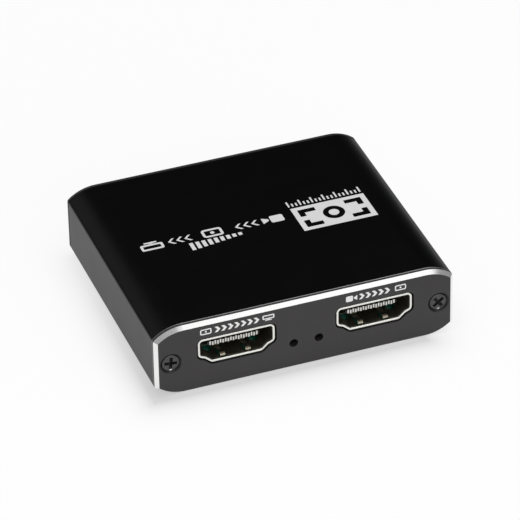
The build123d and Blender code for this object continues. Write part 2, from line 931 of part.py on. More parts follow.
def build():
    os.makedirs("parts", exist_ok=True)
    port_cutout = port_section(port_lip + port_cutout_gap)
    lamp_places = [board_shift + side * lamp_spacing / 2 for side in (-1, 1)]
    lamp_z = board_top_height + lamp_rise
    usb_z = board_top_height + usb_rise
    jack_places = [board_shift + side * jack_spacing / 2 for side in (-1, 1)]

    save("sleeve", make_sleeve())
    front = [(port_cutout, x, port_height_on_case) for x in port_places()]
    front += [(Circle(lamp_hole_diameter / 2), x, lamp_z) for x in lamp_places]
    save("front_plate", at_front(end_plate(front), 0, 0))
    nose_hole = Circle(jack_nose_diameter / 2 + jack_nose_gap)
    rear = [(usb_section(usb_lip + usb_cutout_gap), -board_shift, usb_z)]
    rear += [(nose_hole, -x, jack_axis_height) for x in jack_places]
    save("rear_plate", at_rear(end_plate(rear), 0, 0))
    turns = (left_cross_turn, right_cross_turn)
    save("front_screws", [at_front(screw(turn), side * screw_x, half_height)
                          for side, turn in zip((-1, 1), turns)])
    save("rear_screws", [at_rear(screw(turn), side * screw_x, half_height)
                         for side, turn in zip((-1, 1), turns)])

    save("main_board", make_board())
    for name, x in zip(("output_port", "input_port"), port_places()):
        save(name + "_shell", at_front(make_port_shell(), x, port_height_on_case))
        save(name + "_tongue", at_front(make_port_tongue(), x, port_height_on_case))
        contacts = [contact(place, on_top) for place, on_top in contact_rows()]
        save(name + "_contacts", [at_front(c, x, port_height_on_case) for c in contacts])
    for name, x in zip(("left_lamp", "right_lamp"), lamp_places):
        save(name, at_front(make_lamp(), x, lamp_z))

    save("usb_shell", at_rear(make_usb_shell(), board_shift, usb_z))
    save("usb_tongue", at_rear(make_usb_tongue(), board_shift, usb_z))
    save("usb_contacts", [at_rear(c, board_shift, usb_z) for c in make_usb_contacts()])
    for name, x in zip(("microphone_jack", "audio_jack"), jack_places):
        save(name + "_body", at_rear(make_jack_body(), x, jack_axis_height))
        springs = [at_rear(jack_spring(side), x, jack_axis_height) for side in (-1, 1)]
        save(name + "_springs", springs)

    save("capture_chip", on_board(make_capture_chip(), 0, rear_row))
    save("loop_chip", on_board(make_loop_chip(), 0, front_row))
    save("flash_chip", on_board(make_flash_chip(), flash_x, front_row))
    save("crystals", [on_board(make_crystal(), -crystal_x, front_row + way * crystal_step)
                      for way in (-1, 1)])
    inductor = make_inductor()
    save("inductors", in_pair(inductor, inductor_x, rear_row)
         + [on_board(inductor, -inductor_x, front_row)])
    save("regulators", in_pair(make_regulator(), regulator_x, rear_row))
    save("bulk_capacitors", in_pair(make_bulk_capacitor(), bulk_x, rear_row))
    ceramic = small_chip(ceramic_length, ceramic_width, ceramic_height)
    save("ceramic_capacitors", [Pos(board_shift, 0, 0) * piece
                                for piece in in_columns(ceramic, ceramic_x, ceramic_y)])
    resistor = small_chip(resistor_length, resistor_width, resistor_height)
    save("resistors", in_columns(resistor, resistor_x, front_row))
    surge = small_chip(surge_length, surge_width, surge_height)
    save("surge_arrays", [on_board(surge, x, y) for x, y in surge_places()])


build()
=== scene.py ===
import json
import math

import bmesh
import bpy
from mathutils import Matrix, Vector


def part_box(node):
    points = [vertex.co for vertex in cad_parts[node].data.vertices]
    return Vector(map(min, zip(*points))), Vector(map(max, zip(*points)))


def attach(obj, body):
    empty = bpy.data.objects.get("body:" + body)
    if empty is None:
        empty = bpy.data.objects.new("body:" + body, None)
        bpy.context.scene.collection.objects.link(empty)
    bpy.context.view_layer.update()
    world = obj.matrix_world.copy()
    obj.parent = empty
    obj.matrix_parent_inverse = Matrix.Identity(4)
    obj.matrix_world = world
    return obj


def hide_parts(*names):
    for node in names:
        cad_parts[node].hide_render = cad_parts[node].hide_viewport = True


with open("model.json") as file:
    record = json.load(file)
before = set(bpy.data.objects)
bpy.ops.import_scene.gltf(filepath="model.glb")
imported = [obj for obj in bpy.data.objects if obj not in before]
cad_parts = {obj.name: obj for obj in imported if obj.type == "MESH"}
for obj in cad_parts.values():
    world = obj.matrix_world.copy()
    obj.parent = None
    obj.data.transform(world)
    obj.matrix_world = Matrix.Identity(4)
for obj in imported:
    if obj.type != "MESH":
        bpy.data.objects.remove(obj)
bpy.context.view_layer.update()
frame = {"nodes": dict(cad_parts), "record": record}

MM = 0.001
BODY = "root"

# Case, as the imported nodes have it; its flat underside ends this far from its sides and ends
PLATE_LOW, PLATE_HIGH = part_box("front_plate")
CASE_HALF_WIDTH = PLATE_HIGH.x / MM
CASE_HEIGHT = PLATE_HIGH.z / MM
FRONT_Y = PLATE_LOW.y / MM
REAR_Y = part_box("rear_plate")[1].y / MM
UNDERSIDE_INSET = (5.6, 0.68)

# Edges that were cut after the case was coloured: how far their normals turn to front or rear.
# On the board, how far a face's normal stands upright at least.
CUT_NORMAL_LOW = 0.4
CUT_NORMAL_HIGH = 0.95
BOARD_FACE_NORMAL = 0.5

# Sockets: where the painted shade inside them begins, measured from the plate's face and the
# contacts' tips
LIP_DEPTH = 0.45
CONTACT_TIP_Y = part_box("output_port_contacts")[0].y / MM
UNSHADED_LENGTH = 0.35
SHADE_FADE = 0.3

# Screws: their place, the reach of their countersink, whose wall is painted dark as shade, a head,
# and a shank whose thread is drawn as rings
SCREW_INSET = 3.05
SCREW_X = CASE_HALF_WIDTH - SCREW_INSET
SCREW_Z = CASE_HEIGHT / 2
COUNTERSINK_REACH = 2.31
HEAD_RADIUS = 1.70
HEAD_SETBACK = 0.12
SHANK_RADIUS = 0.9
SCREW_LENGTH = 7.0
THREAD_PITCH = 0.4
THREAD_DEPTH = 0.14
TIP_RADIUS = 0.55
TIP_LENGTH = 0.5
SCREW_STEPS = 64
SCREW_EDGE = 0.03
BROKEN_EDGE_ANGLE = 40
SHARP_EDGE_ANGLE = 35
FRONT_SCREW_TURNS = (-6, 38)
REAR_SCREW_TURNS = (24, -15)

# Head's rounded top: radius, and depth under its highest point
HEAD_CROWN = [
    (0.55, 0),
    (1.1, 0.01),
    (1.45, 0.04),
    (HEAD_RADIUS - 0.08, 0.09),
    (HEAD_RADIUS - 0.02, 0.15),
    (HEAD_RADIUS, 0.22),
]

# Cross recess: half an arm's span and half its width, then depths from the plate's face, each
# with the share of that size that the cross has there
CROSS_HALF_LENGTH = 1.26
CROSS_HALF_WIDTH = 0.32
RECESS_RINGS = [(-0.3, 1.0), (HEAD_SETBACK + 0.15, 0.97), (HEAD_SETBACK + 0.75, 0.55)]

# Bright bare spot on a screw, put where its glint falls as a painted highlight: how far it lies
# under the axis, its radius, the share of that radius that is wholly bare, and how far its edge
# wanders
GLINT_DROP = 1.52
GLINT_RADIUS = 0.34
GLINT_CORE = 0.7
GLINT_WANDER = 0.15

# Colours in linear light; a pair gives the two ends between which a surface varies
PLATE_GREYS = [(0.0215, 0.0192, 0.0200), (0.0280, 0.0252, 0.0262)]
# Painted shade: the countersinks' walls round the screws are drawn near black
COUNTERSINK_PAINTED_SHADE = (0.003, 0.003, 0.003)
BEVEL_BRIGHT = (0.885, 0.885, 0.88)
CASE_BLACKS = [(0.0007, 0.0007, 0.0010), (0.0012, 0.0012, 0.0014)]
CASE_CUT_EDGE = (0.27, 0.27, 0.275)
SHELL_BRIGHT = (0.84, 0.84, 0.79)
# Deeper in the socket mouths: stains, and painted shade that darkens the metal
SHELL_STAINS_AND_SHADE = [(0.33, 0.30, 0.22), (0.48, 0.45, 0.35)]
BOARD_GREENS = [(0.008, 0.15, 0.10), (0.014, 0.24, 0.17)]
BOARD_EDGE = (0.012, 0.010, 0.007)
SCREW_DARK = (0.083, 0.081, 0.084)
# Bright bare metal, put where each screw's glint falls: painted highlight
SCREW_BARE_GLINT = (0.72, 0.72, 0.70)
# Recess of the screws' cross, near black: painted shade
SCREW_RECESS_PAINTED_SHADE = (0.004, 0.004, 0.004)
CONTACT_PLATED = [(0.62, 0.62, 0.58), (0.76, 0.76, 0.73)]
# Contacts further in: painted shade where the shell hides them from the light
CONTACT_PAINTED_SHADE = (0.07, 0.07, 0.065)
LENS_MILKY = (0.25, 0.25, 0.22)
PRINT_WHITE = (0.93, 0.93, 0.93)
PRINT_GREY = (0.84, 0.84, 0.85)

# Noise in the finishes: its detail in fine grain and in slow blotches, and the grain of metal
GRAIN_DETAIL = 3
BLOTCH_DETAIL = 5
METAL_GRAIN_DEPTH = 0.004

# Camera, fitted to the edges of the box in the photograph
CAMERA_AZIMUTH = -19.609
CAMERA_ELEVATION = 34.467
CAMERA_ROLL = -1.224
CAMERA_TARGET = Vector((1.094, 1.785, 5.862))
CAMERA_DISTANCE = 781.9
CAMERA_LENS = 288.3
CAMERA_SENSOR = 36.0
CAMERA_CLIP = (0.01, 20)

# Prints in general: how far they stand proud, the distance at which their points are merged,
# and how finely their curves are drawn
PRINT_LIFT = 0.006
PRINT_WELD = PRINT_LIFT / 10
DISC_STEPS = 32
CORNER_STEPS = 6
SMALLEST_RADIUS = 0.02

# Prints on the front, over the sockets: a row of a sign, arrowheads and another sign
FRONT_PRINT_Z = 12.72
FRONT_PRINT_HEIGHT = 1.22
FRONT_STROKE = 0.24
FRONT_SIGN_WIDTH = 2.2
FRONT_SCREEN_WIDTH = 2.3
FRONT_ARROW_STEP = 1.25
FRONT_ARROW_STROKE = 0.58
OUTPUT_PRINT_X = -13.225
OUTPUT_PRINT_WIDTH = 14.3
OUTPUT_ARROWS_START = 3.35
OUTPUT_ARROWS = 7
INPUT_PRINT_X = 13.755
INPUT_PRINT_WIDTH = 11.8
INPUT_ARROWS_START = 3.1
INPUT_ARROWS = 5

# Badge on the top: middle, size, and the viewfinder's brackets and ring in it
BADGE_MIDDLE = (15.10, -0.72)
BADGE_SIZE = (14.70, 7.83)
BRACKET_SHARES = (0.43, 0.38)
BRACKET_ARMS = (3.4, 2.3)
BRACKET_STROKE = 1.15
RING_RADII = (2.1, 1.0)

# Scale on the top
SCALE_MIDDLE = (14.965, 4.71)
SCALE_SIZE = (14.6, 1.8)
SCALE_BARS = 19
SCALE_BAR_WIDTH = 0.34
SCALE_LONG_EVERY = 3
SCALE_SHORT_SHARE = 0.55

# Signal path on the top: camera, arrowheads, box, arrowheads and screen
PATH_MIDDLE = (-8.385, 1.28)
PATH_SIZE = (28.2, 2.6)
PATH_STROKE = 0.5
PATH_CAMERA_WIDTH = 4.2
PATH_CAMERA_SHARE = 0.85
PATH_BOX_WIDTH = 4.0
PATH_SCREEN_WIDTH = 4.4
PATH_ARROWS = 3
PATH_ARROW_STEP = 1.6
PATH_ARROW_SHARE = 0.7
PATH_ARROWS_FROM_LEFT = 5.7
PATH_ARROWS_FROM_RIGHT = 9.3

# Rising bars on the top
STEPS_MIDDLE = (-8.715, -1.75)
STEPS_SIZE = (10.84, 2.4)
STEPS_BARS = 9
STEPS_BAR_SHARE = 0.62
STEPS_LOWEST = 0.35
STEPS_RISE = 0.65

# Studio: each light's direction from the box, its size in metres, and what it gives the floor
LIGHT_DISTANCE = 0.9
LIGHTS = [
    ("overhead", (0.00, 0.16, 0.99), (0.9, 0.9), 1.85),
    ("front_top", (0.37, -0.54, 0.76), (0.46, 0.70), 0.345),
    ("front", (0.10, -0.93, 0.35), (0.8, 0.4), 0.36),
    ("left_fill", (-0.55, -0.50, 0.62), (1.3, 1.3), 0.42),
    ("left_rim", (-0.47, 0.78, 0.42), (0.6, 0.35), 0.07),
    ("right_rim", (0.85, -0.33, 0.40), (0.45, 0.6), 0.035),
]
WORLD_LEVEL = 0.05

# Floor: half its side in metres, its colour under the lights, how much of it the camera sees
# lit, and its plain glow
FLOOR_HALF = 3.0
FLOOR_ALBEDO = 0.88
FLOOR_SEEN_ALBEDO = 0.22
FLOOR_GLOW = 0.812

# Soft shade on the floor at the foot of the box, deeper in front than at the rear
FOOT_SHADE_FRONT = 0.36
FOOT_SHADE_REAR = 0.06
FOOT_SHADE_REACH = 2.2
FOOT_SHADE_MIDDLE = (-3.0, -0.6)
FOOT_SHADE_INSET = (2.6, 0.0)

# Glow of the floor in mirroring surfaces: it falls off by this share between two distances
# from the middle
MIRRORED_FADE_START = 40
MIRRORED_FADE_END = 300
MIRRORED_LOSS = 0.85


# Scene objects


def new_object(name, data):
    """An object with this data, in the scene."""
    piece = bpy.data.objects.new(name, data)
    bpy.context.scene.collection.objects.link(piece)
    return piece


def shown_mesh(piece):
    """The mesh that an object shows once its outlines are filled or its modifiers are run."""
    dg = bpy.context.evaluated_depsgraph_get()
    return bpy.data.meshes.new_from_object(piece.evaluated_get(dg))


# Finishes


class Finish:
    """A node material while it is put together. Sizes are in millimetres."""

    def __init__(self, name):
        self.material = bpy.data.materials.new(name)
        self.material.use_nodes = True
        self.nodes = self.material.node_tree.nodes
        self.links = self.material.node_tree.links
        self.shader = self.nodes["Principled BSDF"]

    def feed(self, socket, value):
        """Give a socket a number or a colour, or link it to another node's output."""
        if isinstance(value, bpy.types.NodeSocket):
            self.links.new(value, socket)
        elif isinstance(value, tuple):
            socket.default_value = (*value, 1)
        else:
            socket.default_value = value

    def set(self, name, value):
        """Give the shader's own socket a number, a colour or another node's output."""
        self.feed(self.shader.inputs[name], value)

    def math(self, operation, *values):
        """A Math node's result on numbers and other nodes' outputs."""
        node = self.nodes.new("ShaderNodeMath")
        node.operation = operation
        for socket, value in zip(node.inputs, values):
            self.feed(socket, value)
        return node.outputs[0]

    def remap(self, value, source, target, interpolation="LINEAR"):
        """A value carried from the source range to the target range, and kept within it."""
        node = self.nodes.new("ShaderNodeMapRange")
        node.interpolation_type = interpolation
        for name, number in zip(("From Min", "From Max", "To Min", "To Max"), (*source, *target)):
            node.inputs[name].default_value = number
        self.feed(node.inputs["Value"], value)
        return node.outputs["Result"]

    def noise(self, size, detail, stretch=None):
        """Noise through the object with features of about this size, stretched where asked."""
        place = self.nodes.new("ShaderNodeTexCoord").outputs["Object"]
        if stretch:
            mapping = self.nodes.new("ShaderNodeMapping")
            mapping.inputs["Scale"].default_value = stretch
            self.feed(mapping.inputs["Vector"], place)
            place = mapping.outputs["Vector"]
        node = self.nodes.new("ShaderNodeTexNoise")
        node.inputs["Scale"].default_value = 1 / (size * MM)
        node.inputs["Detail"].default_value = detail
        self.feed(node.inputs["Vector"], place)
        return node.outputs["Fac"]

    def mix(self, factor, first, second):
        """A colour between two others."""
        node = self.nodes.new("ShaderNodeMix")
        node.data_type = "RGBA"
        for name, value in (("Factor", factor), ("A", first), ("B", second)):
            self.feed(node.inputs[name], value)
        return node.outputs["Result"]

    def grain(self, size, depth, stretch=None):
        """Fine grain of this depth in the surface's bump."""
        bump = self.nodes.new("ShaderNodeBump")
        bump.inputs["Strength"].default_value = 1
        bump.inputs["Distance"].default_value = depth * MM
        self.feed(bump.inputs["Height"], self.noise(size, GRAIN_DETAIL, stretch))
        self.set("Normal", bump.outputs["Normal"])

    def roughness_by(self, value, start, end, source=(0, 1)):
        """A roughness that runs from start to end while the value runs through its source."""
        self.set("Roughness", self.remap(value, source, (start, end)))

    def axis(self, output, letter):
        """One coordinate of the surface's Position or True Normal."""
        geometry = self.nodes.new("ShaderNodeNewGeometry")
        split = self.nodes.new("ShaderNodeSeparateXYZ")
        self.feed(split.inputs[0], geometry.outputs[output])
        return split.outputs[letter]

    def length(self, across, up):
        """The length of a vector with these two coordinates."""
        squares = [self.math("MULTIPLY", off, off) for off in (across, up)]
        return self.math("SQRT", self.math("ADD", *squares))

    def cut_edge(self):
        """1 on surfaces that slant towards the front or the rear, such as a cut edge, else 0."""
        facing = self.math("ABSOLUTE", self.axis("True Normal", "Y"))
        steep = self.math("GREATER_THAN", facing, CUT_NORMAL_LOW)
        flat = self.math("LESS_THAN", facing, CUT_NORMAL_HIGH)
        return self.math("MULTIPLY", steep, flat)

    def from_screw(self, drop=0.0):
        """Distance, seen from the front, to a point that lies drop under the nearer screw."""
        across = self.math("ABSOLUTE", self.axis("Position", "X"))
        off_x = self.math("SUBTRACT", across, SCREW_X * MM)
        off_z = self.math("SUBTRACT", self.axis("Position", "Z"), (SCREW_Z - drop) * MM)
        return self.length(off_x, off_z)

    def outside_of(self, middle, halves):
        """How far a point lies outside a rectangle seen from above, and zero inside it."""
        offs = []
        for letter, centre, half in zip("XY", middle, halves):
            off = self.math("SUBTRACT", self.axis("Position", letter), centre * MM)
            off = self.math("ABSOLUTE", off)
            off = self.math("SUBTRACT", off, half * MM)
            offs.append(self.math("MAXIMUM", off, 0))
        return self.length(*offs)


def surface(name, colour, roughness, metallic=0.0, grain=0.0, grain_size=0.1, colour_shift=0.0,
            rough_shift=0.0, blotch_size=4.0):
    """A finish with fine grain in its bump, and slow changes of its colour and roughness.

    grain is the bump's depth and grain_size its scale, both in millimetres."""
    finish = Finish(name)
    finish.set("Base Color", colour)
    finish.set("Roughness", roughness)
    finish.set("Metallic", metallic)
    if rough_shift:
        blotches = finish.noise(blotch_size, BLOTCH_DETAIL)
        finish.roughness_by(blotches, roughness - rough_shift, roughness + rough_shift)
    if colour_shift:
        darker = tuple(c * (1 - colour_shift) for c in colour)
        lighter = tuple(c * (1 + colour_shift) for c in colour)
        blotches = finish.noise(blotch_size, BLOTCH_DETAIL)
        finish.set("Base Color", finish.mix(blotches, darker, lighter))
    if grain:
        finish.grain(grain_size, grain)
    return finish.material


def plate_material():
    """Dark grey anodised plate whose bevel is cut bright after the colour, and whose countersinks
    are painted near black as shade.
    """
    finish = Finish("plate_anodised")
    bevel = finish.cut_edge()
    outside = finish.math("GREATER_THAN", finish.from_screw(), COUNTERSINK_REACH * MM)
    bright = finish.math("MULTIPLY", bevel, outside)
    # The countersinks' slanted walls take a painted shade, near black, in place of the bright cut
    painted_sunk_shade = finish.math("SUBTRACT", bevel, bright)
    face = finish.mix(finish.noise(size=3.0, detail=6), *PLATE_GREYS)
    face = finish.mix(painted_sunk_shade, face, COUNTERSINK_PAINTED_SHADE)
    finish.set("Base Color", finish.mix(bright, face, BEVEL_BRIGHT))
    finish.set("Metallic", bright)
    finish.roughness_by(bright, 0.48, 0.24)
    finish.grain(size=0.12, depth=METAL_GRAIN_DEPTH)
    return finish.material


def case_material():
    """Black anodised sleeve with a satin grain, and bare metal where its ends were cut."""
    finish = Finish("case_anodised")
    cut = finish.cut_edge()
    slow = finish.noise(size=6.0, detail=BLOTCH_DETAIL)
    finish.set("Base Color", finish.mix(cut, finish.mix(slow, *CASE_BLACKS), CASE_CUT_EDGE))
    finish.set("Metallic", cut)
    finish.set("Specular IOR Level", 0.11)
    finish.roughness_by(slow, 0.28, 0.34)
    finish.grain(size=0.11, depth=METAL_GRAIN_DEPTH, stretch=(1, 0.35, 1))
    return finish.material


def shell_material():
    """Plated shell: bright at its rolled lip, and painted darker inside its mouth as shade, with
    stains there.
    """
    finish = Finish("shell_nickel")
    depth = finish.math("ABSOLUTE", finish.axis("Position", "Y"))
    mouth = ((REAR_Y - LIP_DEPTH) * MM, (REAR_Y - 2 * LIP_DEPTH) * MM)
    # Painted shade: the metal turns darker from the lip into the mouth
    inside = finish.remap(depth, mouth, (0, 1), "SMOOTHSTEP")
    stains = finish.noise(size=1.2, detail=4)
    finish.set("Base Color", finish.mix(inside, SHELL_BRIGHT, finish.mix(stains, *SHELL_STAINS_AND_SHADE)))
    finish.set("Metallic", 1)
    finish.roughness_by(stains, 0.32, 0.46)
    return finish.material


def board_material():
    """Green solder mask on both faces, and the dark raw laminate at the cut edge."""
    finish = Finish("board_mask")
    upright = finish.math("ABSOLUTE", finish.axis("True Normal", "Z"))
    edge = finish.math("LESS_THAN", upright, BOARD_FACE_NORMAL)
    mask = finish.mix(finish.noise(size=1.5, detail=2), *BOARD_GREENS)
    finish.set("Base Color", finish.mix(edge, mask, BOARD_EDGE))
    finish.set("Roughness", 0.35)
    return finish.material


def screw_material():
    """Dark plated screw, with a bright bare patch at the foot of its head, placed where its glint
    falls: a painted highlight.
    """
    finish = Finish("screw_steel")
    patches = finish.noise(size=0.5, detail=3)
    patch_range = (0.3, 0.7)
    ragged = finish.remap(patches, patch_range, (-GLINT_WANDER * MM, GLINT_WANDER * MM))
    away = finish.math("ADD", finish.from_screw(GLINT_DROP), ragged)
    # Painted highlight: a bright bare patch at the foot of each head, where the glint falls
    glint_patch = finish.remap(away, (GLINT_CORE * GLINT_RADIUS * MM, GLINT_RADIUS * MM), (1, 0))
    finish.set("Base Color", finish.mix(glint_patch, SCREW_DARK, SCREW_BARE_GLINT))
    finish.set("Metallic", 0.85)
    finish.roughness_by(patches, 0.34, 0.46, patch_range)
    finish.grain(size=0.15, depth=METAL_GRAIN_DEPTH)
    return finish.material


def contact_material():
    """Contacts of the video sockets: plated bright at their tips, and painted dark further in as
    the shell's shade.
    """
    finish = Finish("contact_tin")
    unshaded_end = CONTACT_TIP_Y + UNSHADED_LENGTH
    fade = (unshaded_end * MM, (unshaded_end + SHADE_FADE) * MM)
    # Painted shade: past the bright tips the contacts turn dark
    shaded_further_in = finish.remap(finish.axis("Position", "Y"), fade, (0, 1))
    stains = finish.noise(size=0.8, detail=3)
    tip = finish.mix(stains, *CONTACT_PLATED)
    finish.set("Base Color", finish.mix(shaded_further_in, tip, CONTACT_PAINTED_SHADE))
    finish.set("Metallic", 1)
    finish.roughness_by(stains, 0.30, 0.44)
    return finish.material


def clear_lens():
    """Slightly milky lens of a lamp that is off."""
    finish = Finish("lamp_lens")
    finish.set("Base Color", LENS_MILKY)
    finish.set("Roughness", 0.25)
    finish.set("Transmission Weight", 0.5)
    return finish.material


def make_materials():
    """Every finish, by the record's slot, or by the node where one differs from its slot."""
    tin = contact_material()
    return {
        "output_port_contacts": tin,
        "input_port_contacts": tin,
        "case": case_material(),
        "end_plate": plate_material(),
        "screw": screw_material(),
        "board": board_material(),
        "socket_shell": shell_material(),
        "socket_plastic": surface("insulator_black", (0.012, 0.012, 0.012), 0.45, grain=0.003,
                                  grain_size=0.1, rough_shift=0.05),
        "usb_plastic": surface("insulator_blue", (0.012, 0.075, 0.42), 0.4, grain=0.003,
                               grain_size=0.1, rough_shift=0.05),
        "contact": surface("contact_gold", (0.83, 0.68, 0.40), 0.28, metallic=1.0, grain=0.001,
                           grain_size=0.2, rough_shift=0.05),
        "lamp": clear_lens(),
        "jack_plastic": surface("jack_black", (0.014, 0.014, 0.015), 0.42, grain=0.003,
                                grain_size=0.12, rough_shift=0.05),
        "chip": surface("chip_mould", (0.02, 0.02, 0.021), 0.6, grain=0.004, grain_size=0.08),
        "crystal": surface("crystal_lid", (0.66, 0.65, 0.62), 0.3, metallic=1.0, grain=0.001,
                           grain_size=0.2),
        "inductor": surface("ferrite", (0.07, 0.07, 0.075), 0.7, grain=0.01, grain_size=0.15,
                            colour_shift=0.2),
        "can": surface("can_aluminium", (0.8, 0.8, 0.81), 0.3, metallic=1.0, grain=0.001,
                       grain_size=0.3),
        "ceramic": surface("ceramic_tan", (0.42, 0.27, 0.16), 0.5, colour_shift=0.1),
        "resistor": surface("resistor_black", (0.02, 0.02, 0.022), 0.4, colour_shift=0.2),
    }


def dress_nodes(materials):
    """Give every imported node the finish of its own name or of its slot."""
    for part in frame["record"]["subparts"]:
        node = frame["nodes"][part["node"]]
        node.data.materials.clear()
        slot = part["material_slot"]
        node.data.materials.append(materials.get(part["node"], materials[slot]))


# Prints: flat figures drawn in millimetres about their own middle


def bar(left, low, right, high):
    """A rectangle."""
    return [(left, low), (right, low), (right, high), (left, high)]


def disc(x, radius):
    """A round figure on the print's middle line."""
    turns = [2 * math.pi * i / DISC_STEPS for i in range(DISC_STEPS)]
    return [(x + radius * math.cos(t), radius * math.sin(t)) for t in turns]


def rounded(left, low, right, high, radius):
    """A rectangle with round corners."""
    centres = [(right - radius, high - radius, 0), (left + radius, high - radius, 1),
               (left + radius, low + radius, 2), (right - radius, low + radius, 3)]
    points = []
    for x, y, quarter in centres:
        for i in range(CORNER_STEPS + 1):
            t = math.pi / 2 * (quarter + i / CORNER_STEPS)
            points.append((x + radius * math.cos(t), y + radius * math.sin(t)))
    return points


def frame_lines(left, low, right, high, stroke, radius):
    """A rounded outline of the given stroke: its outer and inner edges."""
    inner_radius = max(radius - stroke, SMALLEST_RADIUS)
    inner = rounded(left + stroke, low + stroke, right - stroke, high - stroke, inner_radius)
    return [rounded(left, low, right, high, radius), inner]


def chevron(x, width, height, stroke):
    """An arrowhead of two slanted strokes that points to the right."""
    half = height / 2
    lean = width - stroke
    points = [(0, half), (stroke, half), (stroke + lean, 0), (stroke, -half), (0, -half),
              (lean, 0)]
    return [(x + px - width / 2, py) for px, py in points]


def arrow_row(start, count, step, height, stroke):
    """Arrowheads in a row to the right."""
    width = 0.9 * step
    return [chevron(start + step * i, width, height, stroke) for i in range(count)]


def screen(x, width, height, stroke):
    """A small screen on its foot."""
    foot = 0.16 * height
    neck = 0.10 * height
    gap = 0.02 * height
    foot_half = 0.28 * width
    neck_half = 0.09 * width
    corner = 0.8 * stroke
    low = -height / 2
    outlines = frame_lines(x - width / 2, low + foot + neck, x + width / 2, height / 2, stroke,
                           corner)
    outlines.append(bar(x - foot_half, low, x + foot_half, low + foot))
    outlines.append(bar(x - neck_half, low + foot + gap, x + neck_half, low + foot + neck - gap))
    return outlines


def bracket(x, y, across, up, stroke):
    """A corner bracket whose arms run by across and up, each with its sign, from its corner."""
    side = math.copysign(stroke, across)
    rise = math.copysign(stroke, up)
    return [(x, y), (x + across, y), (x + across, y + rise), (x + side, y + rise),
            (x + side, y + up), (x, y + up)]


def camera_sign(x, width, height):
    """A small camera seen from the side: a body and its lens hood, which points to the right."""
    start = x - width / 2
    body_end = start + 0.62 * width
    neck = body_end + 0.08 * width
    neck_half = 0.12 * height
    tip_half = 0.42 * height
    corner = 0.18 * height
    hood = [(neck, -neck_half), (neck, neck_half), (start + width, tip_half),
            (start + width, -tip_half)]
    return [rounded(start, -height / 2, body_end, height / 2, corner), hood]


def box_sign(x, width, height, stroke):
    """A box with a dot in it."""
    corner = 0.25 * height
    dot = 0.16 * height
    outlines = frame_lines(x - width / 2, -height / 2, x + width / 2, height / 2, stroke, corner)
    outlines.append(disc(x, dot))
    return outlines


def output_outlines():
    """A box, arrowheads and a screen: the signal goes out to a screen."""
    h = FRONT_PRINT_HEIGHT
    half = OUTPUT_PRINT_WIDTH / 2
    outlines = box_sign(-half + FRONT_SIGN_WIDTH / 2, FRONT_SIGN_WIDTH, h, FRONT_STROKE)
    outlines += arrow_row(-half + OUTPUT_ARROWS_START, OUTPUT_ARROWS, FRONT_ARROW_STEP, h,
                          FRONT_ARROW_STROKE)
    outlines += screen(half - FRONT_SCREEN_WIDTH / 2, FRONT_SCREEN_WIDTH, h, FRONT_STROKE)
    return outlines


def input_outlines():
    """A camera, arrowheads and a box: the signal comes in from a source."""
    h = FRONT_PRINT_HEIGHT
    half = INPUT_PRINT_WIDTH / 2
    outlines = camera_sign(-half + FRONT_SIGN_WIDTH / 2, FRONT_SIGN_WIDTH, h)
    outlines += arrow_row(-half + INPUT_ARROWS_START, INPUT_ARROWS, FRONT_ARROW_STEP, h,
                          FRONT_ARROW_STROKE)
    outlines += box_sign(half - FRONT_SIGN_WIDTH / 2, FRONT_SIGN_WIDTH, h, FRONT_STROKE)
    return outlines


def badge_outlines():
    """A light block with the brackets and ring of a viewfinder left dark in it."""
    w, h = BADGE_SIZE
    corner_x, corner_y = BRACKET_SHARES[0] * w, BRACKET_SHARES[1] * h
    across, up = BRACKET_ARMS
    outlines = [bar(-w / 2, -h / 2, w / 2, h / 2)]
    for side in (-1, 1):
        for level in (-1, 1):
            outlines.append(bracket(side * corner_x, level * corner_y, -side * across,
                                    -level * up, BRACKET_STROKE))
    return outlines + [disc(0, radius) for radius in RING_RADII]


def scale_outlines():
    """A row of short bars with a longer one at every third place."""
    w, h = SCALE_SIZE
    half = SCALE_BAR_WIDTH / 2
    outlines = []
    for i in range(SCALE_BARS):
        x = (i / (SCALE_BARS - 1) - 0.5) * (w - SCALE_BAR_WIDTH)
        tall = h if i % SCALE_LONG_EVERY == 0 else SCALE_SHORT_SHARE * h
        outlines.append(bar(x - half, h / 2 - tall, x + half, h / 2))
    return outlines


def path_outlines():
    """Camera, arrowheads, box, arrowheads, screen."""
    w, h = PATH_SIZE
    outlines = camera_sign(-w / 2 + PATH_CAMERA_WIDTH / 2, PATH_CAMERA_WIDTH,
                           PATH_CAMERA_SHARE * h)
    for start in (-w / 2 + PATH_ARROWS_FROM_LEFT, w / 2 - PATH_ARROWS_FROM_RIGHT):
        outlines += arrow_row(start, PATH_ARROWS, PATH_ARROW_STEP, PATH_ARROW_SHARE * h,
                              PATH_STROKE)
    outlines += box_sign(0, PATH_BOX_WIDTH, h, PATH_STROKE)
    outlines += screen(w / 2 - PATH_SCREEN_WIDTH / 2, PATH_SCREEN_WIDTH, h, PATH_STROKE)
    return outlines


def steps_outlines():
    """Bars that rise step by step, as for a level."""
    w, h = STEPS_SIZE
    step = w / STEPS_BARS
    outlines = []
    for i in range(STEPS_BARS):
        left = -w / 2 + i * step
        tall = h * (STEPS_LOWEST + STEPS_RISE * i / (STEPS_BARS - 1))
        outlines.append(bar(left, -h / 2, left + STEPS_BAR_SHARE * step, -h / 2 + tall))
    return outlines


